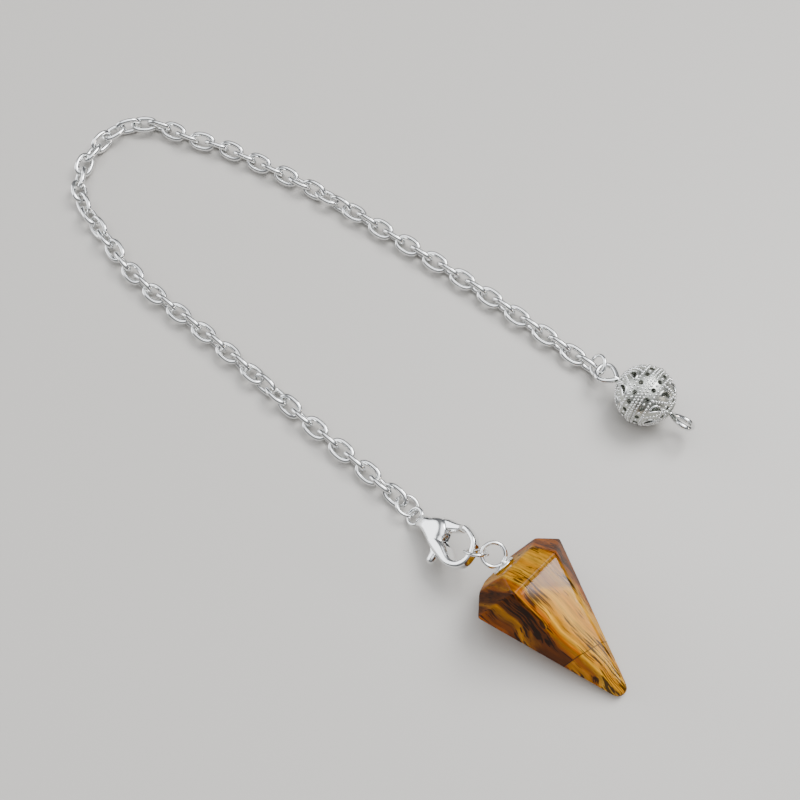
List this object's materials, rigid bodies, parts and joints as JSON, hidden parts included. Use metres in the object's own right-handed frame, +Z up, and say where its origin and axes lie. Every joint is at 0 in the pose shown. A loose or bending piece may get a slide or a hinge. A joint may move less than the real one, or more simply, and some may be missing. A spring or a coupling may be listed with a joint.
{
  "type": "pendulum pendant",
  "caption": "Dowsing pendulum with a faceted stone point, a lobster clasp, a fine oval link chain and a pierced ball on an eye pin.",
  "frame": {"origin": "centre of the bounding box's underside, on the surface that the pendulum lies on", "axes": "+Z up from the surface, X and Y along the surface as the picture's view has them, with the view looking along +Y and down"},
  "size_m": [0.0846, 0.0846, 0.0123],
  "materials": {
    "stone": "polished tiger's eye with golden and brown bands",
    "plate": "bright silver-coloured plating on brass",
    "steel": "plain steel rivet"
  },
  "bodies": {
    "pendulum": {"stone": "stone", "bail": "plate", "hook_ring": "plate", "clasp_body": "plate", "clasp_rivet": "steel", "clasp_chain_ring": "plate", "chain_clasp_side": "plate", "chain_ball_side": "plate", "ball_ring": "plate", "eye_pin": "plate", "filigree_ball": "plate"},
    "lever": {"clasp_lever": "plate"}
  },
  "joints": [
    {"name": "lever_hinge", "type": "hinge", "parent": "pendulum", "child": "lever", "pos_m": [0.00907, -0.02277, 0.00327], "axis": [0.591, 0.0061, -0.8067], "range_deg": [0, 28], "stiffness_Nm_per_rad": 0.02, "springref_deg": -20.05}
  ]
}
